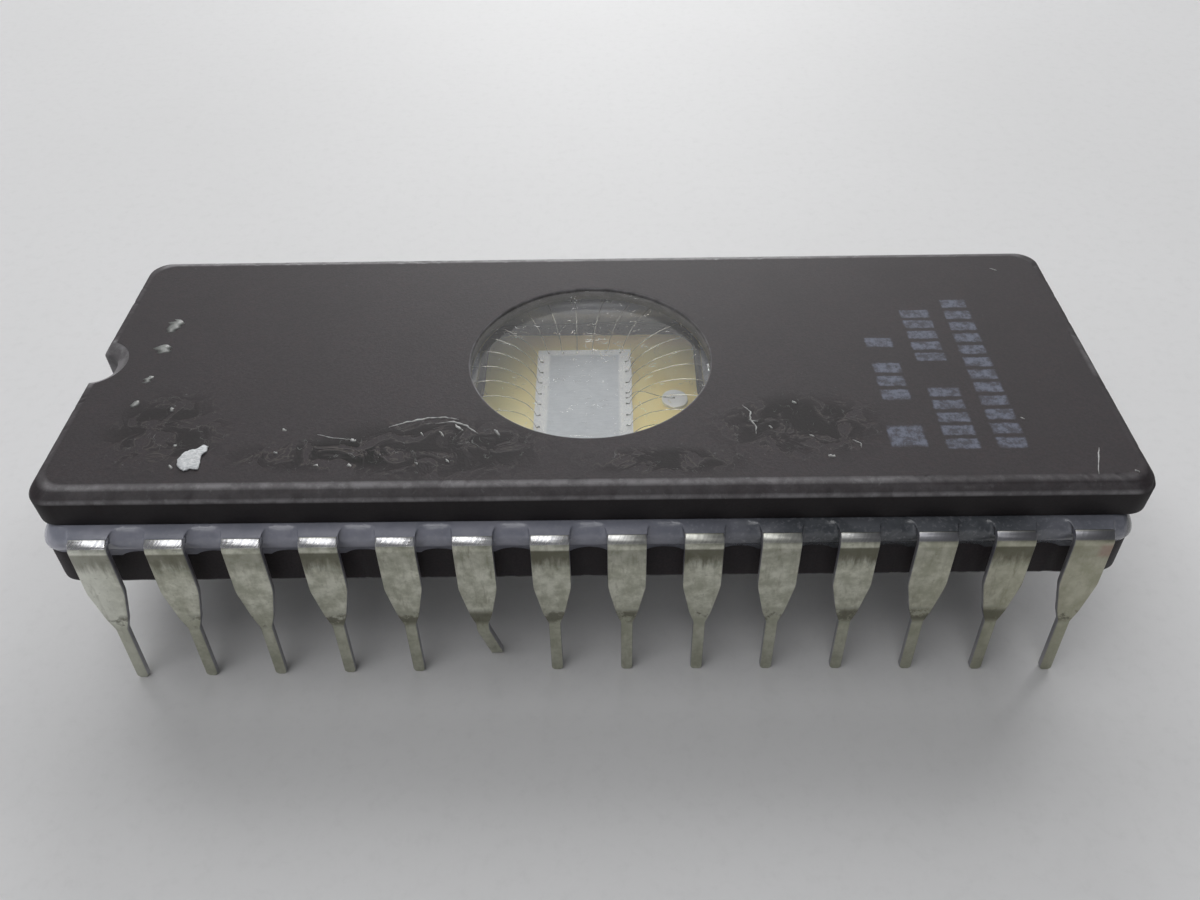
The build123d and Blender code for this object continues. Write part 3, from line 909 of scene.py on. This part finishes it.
def white_scrap():
    s = Shader("white_scrap")
    fibre = s.noise(1.0, 3.0, 0.7, at=s.join(s.times(s.x, 6.0), s.times(s.y, 16.0), s.z))
    tone = s.mix(s.rise(fibre, 0.35, 0.7), (0.50, 0.52, 0.54), (0.76, 0.77, 0.78))
    s.set(base_color=tone, roughness=0.7, normal=s.bump(fibre, 0.015, 0.7))
    return s.material


def seal_glass():
    """Opaque bluish-grey sealing glass, glossy and uneven, with painted light towards the notched
    end and painted shade further along.
    """
    s = Shader("seal_glass")
    cloud = s.noise(0.8, 3.0, 0.6)
    fine = s.noise(8.0, 3.0, 0.6)
    clouded = s.rise(cloud, 0.35, 0.65)
    pale = s.mix(clouded, (0.36, 0.375, 0.45), (0.47, 0.475, 0.56))
    dark = s.mix(clouded, (0.078, 0.085, 0.096), (0.13, 0.138, 0.155))
    # Painted light and shade along the package: paler towards the notched end, darker from the
    # middle on, paler again near the far end, and a dark far end face.
    pale = s.mix(s.rise(s.x, -17.6, -14.0, 0.0, 0.35), pale, (0.16, 0.165, 0.20))
    colour = s.mix(s.rise(s.x, 0.0, 8.0), pale, dark)
    colour = s.mix(s.rise(s.x, 13.0, 18.0, 0.0, 0.6), colour, pale)
    colour = s.mix(s.rise(s.x, 17.7, 17.95), colour, (0.055, 0.06, 0.062))
    colour = s.mix(s.times(s.rise(fine, 0.5, 0.8), 0.30), colour, (0.46, 0.46, 0.50))
    s.set(base_color=colour, roughness=s.lerp(fine, 0.14, 0.30), coat_weight=0.3,
          coat_roughness=0.1, normal=s.bump(s.plus(s.times(fine, 0.35), cloud), 0.03, 0.6))
    return s.material


# Heights of the stain below a lead's bend, of the stained neck and of the narrow tip
STAIN_TOP, STAIN_FOOT = (6.25, 6.35), (5.8, 6.6)
NECK_STAIN, TIP_TOP = (2.65, 3.30), (2.6, 3.1)

# Rust on one lead: centre X and Y with half length and half width, and its heights
RUST_SPOT, RUST_HEIGHTS = (17.05, -8.1, 0.30, 1.0), (5.8, 6.35)

# Distances from the middle plane where the bright fingers end and the bends start
FINGERS_END, BEND_START = (5.3, 5.5), (7.50, 7.56)


def lead_stains(s, colour, streaks, blotch):
    """Dull plating with streaks, specks and stains that differ from lead to lead, and painted
    shade on the leads towards the end away from the notch.
    """
    streak_tone, painted_shade_tin = (0.33, 0.32, 0.24), (0.40, 0.385, 0.27)
    speck_tone, tip_tone = (0.30, 0.29, 0.22), (0.42, 0.425, 0.33)
    under_tone, neck_tone = (0.13, 0.125, 0.085), (0.12, 0.115, 0.075)
    side_tone, rust_tone = (0.40, 0.39, 0.50), (0.42, 0.25, 0.22)
    along = s.plus(s.x, LEAD_PITCH * LEADS_PER_ROW)
    number = s.math("FLOOR", s.math("DIVIDE", along, LEAD_PITCH))
    chance, other = s.random(number), s.random(s.plus(number, 31.0))
    streaked = s.times(s.rise(streaks, 0.50, 0.75), s.rise(other, 0.3, 0.8, 0.35, 0.75))
    under = s.times(s.fall(s.z, *STAIN_TOP),
                    s.rise(s.plus(s.z, s.times(streaks, 1.2)), *STAIN_FOOT),
                    s.rise(chance, 0.35, 0.75, 0.25, 1.0))
    neck = s.times(s.within(s.z, *NECK_STAIN, 0.18),
                   s.rise(s.plus(blotch, s.times(other, 0.25)), 0.50, 0.66))
    speck = s.rise(s.noise(6.0, 3.0, 0.75), 0.60, 0.72)
    side = s.rise(s.math("ABSOLUTE", s.facing()[0]), 0.6, 0.95)
    rust = s.times(s.spot(*RUST_SPOT), s.within(s.z, *RUST_HEIGHTS, 0.12))
    # The tone rising from x 7 to 17 is painted shade on the leads towards the end away from the
    # notch.
    for share, tone in ((streaked, streak_tone), (s.rise(s.x, 7.0, 17.0, 0.0, 0.55), painted_shade_tin),
                        (s.times(speck, 0.4), speck_tone),
                        (s.times(s.fall(s.z, *TIP_TOP), 0.45), tip_tone),
                        (s.times(under, 0.85), under_tone), (s.times(neck, 0.8), neck_tone),
                        (s.times(side, 0.6), side_tone), (s.times(rust, 0.5), rust_tone)):
        colour = s.mix(share, colour, tone)
    return colour


def tin_plate():
    """Dull stained tin plating, burnished where the lead bends, with a painted highlight on the
    bends near the notched end, painted shade on the bends towards the other end, and bright
    fingers inside.
    """
    yellow, grey, painted_lit_tin = (0.50, 0.505, 0.41), (0.80, 0.80, 0.70), (0.92, 0.93, 0.86)
    brushed, white = (0.66, 0.66, 0.70), (1.0, 1.0, 1.0)
    painted_shade_bend, finger = (0.34, 0.34, 0.40), (0.95, 0.95, 0.97)
    s = Shader("tin_plate")
    row = s.math("ABSOLUTE", s.y)
    streaks = s.noise(1.0, 3.0, 0.65, at=s.join(s.times(s.x, 4.0), s.y, s.times(s.z, 0.9)))
    blotch = s.noise(1.9, 4.0, 0.65)
    fine = s.noise(14.0, 3.0, 0.7)
    colour = s.mix(s.rise(blotch, 0.3, 0.7), yellow, grey)
    # Painted light: paler plating on the lead at the notched end.
    colour = s.mix(s.rise(s.x, -17.4, -14.6, 0.7, 0.0), colour, painted_lit_tin)
    colour = lead_stains(s, colour, streaks, blotch)
    round_bend = s.math("DIVIDE", s.math("SUBTRACT", s.z, LEAD_TOP - LEAD_BEND_RADIUS),
                        LEAD_BEND_RADIUS)
    bend = s.times(s.within(round_bend, 0.50, 0.97, 0.05), s.rise(row, *BEND_START))
    slant = s.plus(s.x, s.times(s.z, -0.9))
    brushing = s.noise(1.0, 2.0, 0.6, at=s.join(s.times(slant, 9.0), 0.0, 0.0))
    # The bends are burnished; the mix towards white below is a painted highlight, strongest near
    # the notched end.
    polish_and_highlight = s.times(bend, s.rise(s.x, -2.0, 3.5, 1.0, 0.40))
    painted_highlight_left = s.times(bend, s.fall(s.x, -2.0, 3.5))
    colour = s.mix(polish_and_highlight, colour, s.mix(s.rise(brushing, 0.38, 0.60), brushed, white))
    # Painted shade on the bends towards the end away from the notch.
    colour = s.mix(s.times(bend, s.rise(s.x, 6.0, 11.0), 0.75), colour, painted_shade_bend)
    inner = s.fall(row, *FINGERS_END)
    colour = s.mix(inner, colour, finger)
    dull = s.lerp(fine, 0.42, 0.60)
    burnished = s.lerp(s.rise(brushing, 0.35, 0.65), 0.36, 0.24)
    height = s.lerp(bend, s.plus(fine, s.times(blotch, 1.5)), s.times(brushing, 0.9))
    s.set(base_color=colour, metallic=s.lerp(painted_highlight_left, 0.9, 0.8),
          roughness=s.lerp(s.math("MAXIMUM", polish_and_highlight, inner), dull, burnished),
          normal=s.bump(height, 0.010, 0.7))
    return s.material


def gold():
    """Satin gold, with painted tones where the lid's rim shades it: more orange along its far edge
    and darker and greener at its left one.
    """
    s = Shader("gold_pad")
    broad = s.noise(0.30)
    fine = s.noise(7.0, 3.0, 0.6)
    colour = s.mix(s.rise(broad, 0.35, 0.65), (1.0, 0.82, 0.34), (1.0, 0.88, 0.46))
    # Painted tones where the lid's rim shades the pad: more orange at the far edge, darker green
    # at the left.
    colour = s.mix(s.rise(s.y, 3.2, 4.1, 0.0, 0.85), colour, (1.0, 0.78, 0.46))
    colour = s.mix(s.rise(s.x, -3.6, -2.4, 0.6, 0.0), colour, (0.84, 0.78, 0.36))
    s.set(base_color=colour, metallic=0.35, roughness=s.lerp(fine, 0.40, 0.56),
          normal=s.bump(s.plus(fine, s.times(broad, 3.0)), 0.006, 0.6))
    return s.material


def silicon():
    """Polished die with paler, speckled rows of circuitry along its edges."""
    s = Shader("silicon_die")
    border = s.math("MAXIMUM", s.rise(s.away(s.x, DIE_OFFSET), 1.30, 1.42),
                    s.rise(s.math("ABSOLUTE", s.y), 2.55, 2.7))
    speckle = s.rise(s.noise(17.0, 3.0, 0.8), 0.42, 0.58)
    rows = s.noise(1.0, at=s.join(s.times(s.x, 2.0), s.times(s.y, 14.0), 0.0))
    field = s.mix(s.rise(rows, 0.3, 0.7), (0.62, 0.65, 0.70), (0.68, 0.71, 0.76))
    patches = s.rise(s.noise(2.2, 3.0, 0.7), 0.35, 0.7, 0.0, 0.35)
    field = s.mix(patches, field, (0.52, 0.55, 0.60))
    edge = s.mix(speckle, (0.84, 0.85, 0.88), (1.0, 1.0, 1.0))
    s.set(base_color=s.mix(border, field, edge), metallic=0.3, roughness=s.lerp(border, 0.5, 0.6),
          normal=s.bump(s.times(border, speckle), 0.004, 0.4))
    return s.material


def bare_metal(name, colour, roughness, metallic):
    s = Shader(name)
    fine = s.noise(16.0, 3.0, 0.6)
    tone = s.mix(fine, tuple(0.85 * c for c in colour), colour)
    s.set(base_color=tone, metallic=metallic,
          roughness=s.lerp(fine, roughness * 0.7, roughness * 1.2),
          normal=s.bump(fine, 0.004, 0.5))
    return s.material


def clear_glass():
    """Fused window glass with fine scratches and a slightly uneven face."""
    s = Shader("window_glass")
    wave = s.noise(0.5)
    hair = s.line(s.noise(0.9, distortion=1.2), 0.5, 0.006)
    hair = s.times(hair, s.rise(s.noise(1.9), 0.55, 0.62))
    height = s.plus(wave, s.times(hair, 0.15))
    s.set(base_color=(0.995, 1.0, 0.985), transmission_weight=1.0, ior=1.47,
          roughness=s.times(hair, 0.35), normal=s.bump(height, 0.03, 0.5))
    return s.material


def table_top():
    s = Shader("table_top")
    cloud = s.noise(0.04, 3.0, 0.6)
    fine = s.noise(1.6, 4.0, 0.7)
    colour = s.mix(cloud, (0.70, 0.70, 0.705), (0.75, 0.75, 0.76))
    colour = s.mix(s.times(s.rise(fine, 0.45, 0.8), 0.5), colour, (0.66, 0.66, 0.665))
    s.set(base_color=colour, roughness=0.62, normal=s.bump(fine, 0.02, 0.3))
    return s.material


# Scene: sizes and places of the lights and the table are in metres, power is in watts
SKY_COLOUR, SKY_STRENGTH = (0.93, 0.96, 1.0, 1), 0.05
TABLE_HALF_SIZE = 3.0

# Name, place, point on the table that it faces, size and power
LIGHTS = (
    ("back_left", (-0.26, 0.34, 0.36), (0.0, 0.0), (0.16, 0.16), 0.45),
    ("back_right", (0.26, 0.34, 0.36), (0.0, 0.0), (0.16, 0.16), 0.50),
    ("back_low", (0.0, 0.50, 0.16), (0.0, 0.0), (0.25, 0.25), 1.25),
    ("back_panel", (0.0, 0.40, 0.38), (0.0, 0.0), (0.45, 0.45), 0.65),
    ("bank_back", (-0.15, 0.05, 0.45), (-0.15, 0.0), (0.34, 0.14), 0.28),
    ("bank_middle", (-0.15, -0.12, 0.44), (-0.15, 0.0), (0.34, 0.14), 0.38),
    ("bank_front", (-0.15, -0.27, 0.36), (-0.15, 0.0), (0.34, 0.14), 0.23),
)

# The photograph's camera, found from the chip's own points: millimetres, radians and pixels
CAMERA_PLACE, CAMERA_TURN = (0.76979, -30.56842, 31.94157), (0.819450, 0.014956, 0.000215)
FOCAL_LENGTH_PX, PHOTO_WIDTH_PX, SENSOR_WIDTH = 1038.187, 1200, 36.0


def area_light(name, position, target, size, power):
    """Soft oblong light."""
    light = bpy.data.lights.new(name, "AREA")
    light.shape = "RECTANGLE"
    light.size, light.size_y = size
    light.energy = power
    lamp = added(name, light)
    lamp.location = position
    aim = Vector((*target, 0)) - Vector(position)
    lamp.rotation_euler = aim.to_track_quat("-Z", "Y").to_euler()


def studio():
    scene = bpy.context.scene
    scene.view_settings.view_transform = "Standard"
    world = bpy.data.worlds.new("studio")
    world.use_nodes = True
    sky = world.node_tree.nodes["Background"]
    sky.inputs["Color"].default_value = SKY_COLOUR
    sky.inputs["Strength"].default_value = SKY_STRENGTH
    scene.world = world
    for row in LIGHTS:
        area_light(*row)


def floor():
    mesh = bpy.data.meshes.new("table")
    half = TABLE_HALF_SIZE
    corners = [(-half, -half, 0), (half, -half, 0), (half, half, 0), (-half, half, 0)]
    mesh.from_pydata(corners, [], [(0, 1, 2, 3)])
    mesh.materials.append(table_top())
    added("table", mesh)


def camera():
    data = bpy.data.cameras.new("camera")
    data.sensor_width = SENSOR_WIDTH
    data.sensor_fit = "HORIZONTAL"
    data.lens = FOCAL_LENGTH_PX / PHOTO_WIDTH_PX * SENSOR_WIDTH
    data.clip_start = 0.001
    view = added("camera", data)
    view.location = Vector(CAMERA_PLACE) * MM
    view.rotation_euler = Euler(CAMERA_TURN, "XYZ")
    bpy.context.scene.camera = view


def dress(node, material):
    """A new finish on a CAD node whose form stays."""
    mesh = nodes[node].data
    mesh.materials.clear()
    mesh.materials.append(material)


camera()
studio()
floor()

lid_tile(ceramic("lid_ceramic", True))
lid_flecks(dried_residue())
stuck_scrap(white_scrap())
base_tile(ceramic("base_ceramic", False))
glass = seal_glass()
seal_ring(glass)
seal_collars(glass)
tin = tin_plate()
for lead in range(1, 2 * LEADS_PER_ROW + 1):
    plated_lead(lead, tin)
window_lens(clear_glass())
dress("die_attach_pad", gold())
dress("eprom_die", silicon())
dress("ground_disc", bare_metal("disc_metal", (1.0, 1.0, 1.0), 0.42, 0.35))
bond_loops(bare_metal("wire_metal", (0.68, 0.66, 0.60), 0.14, 0.9))
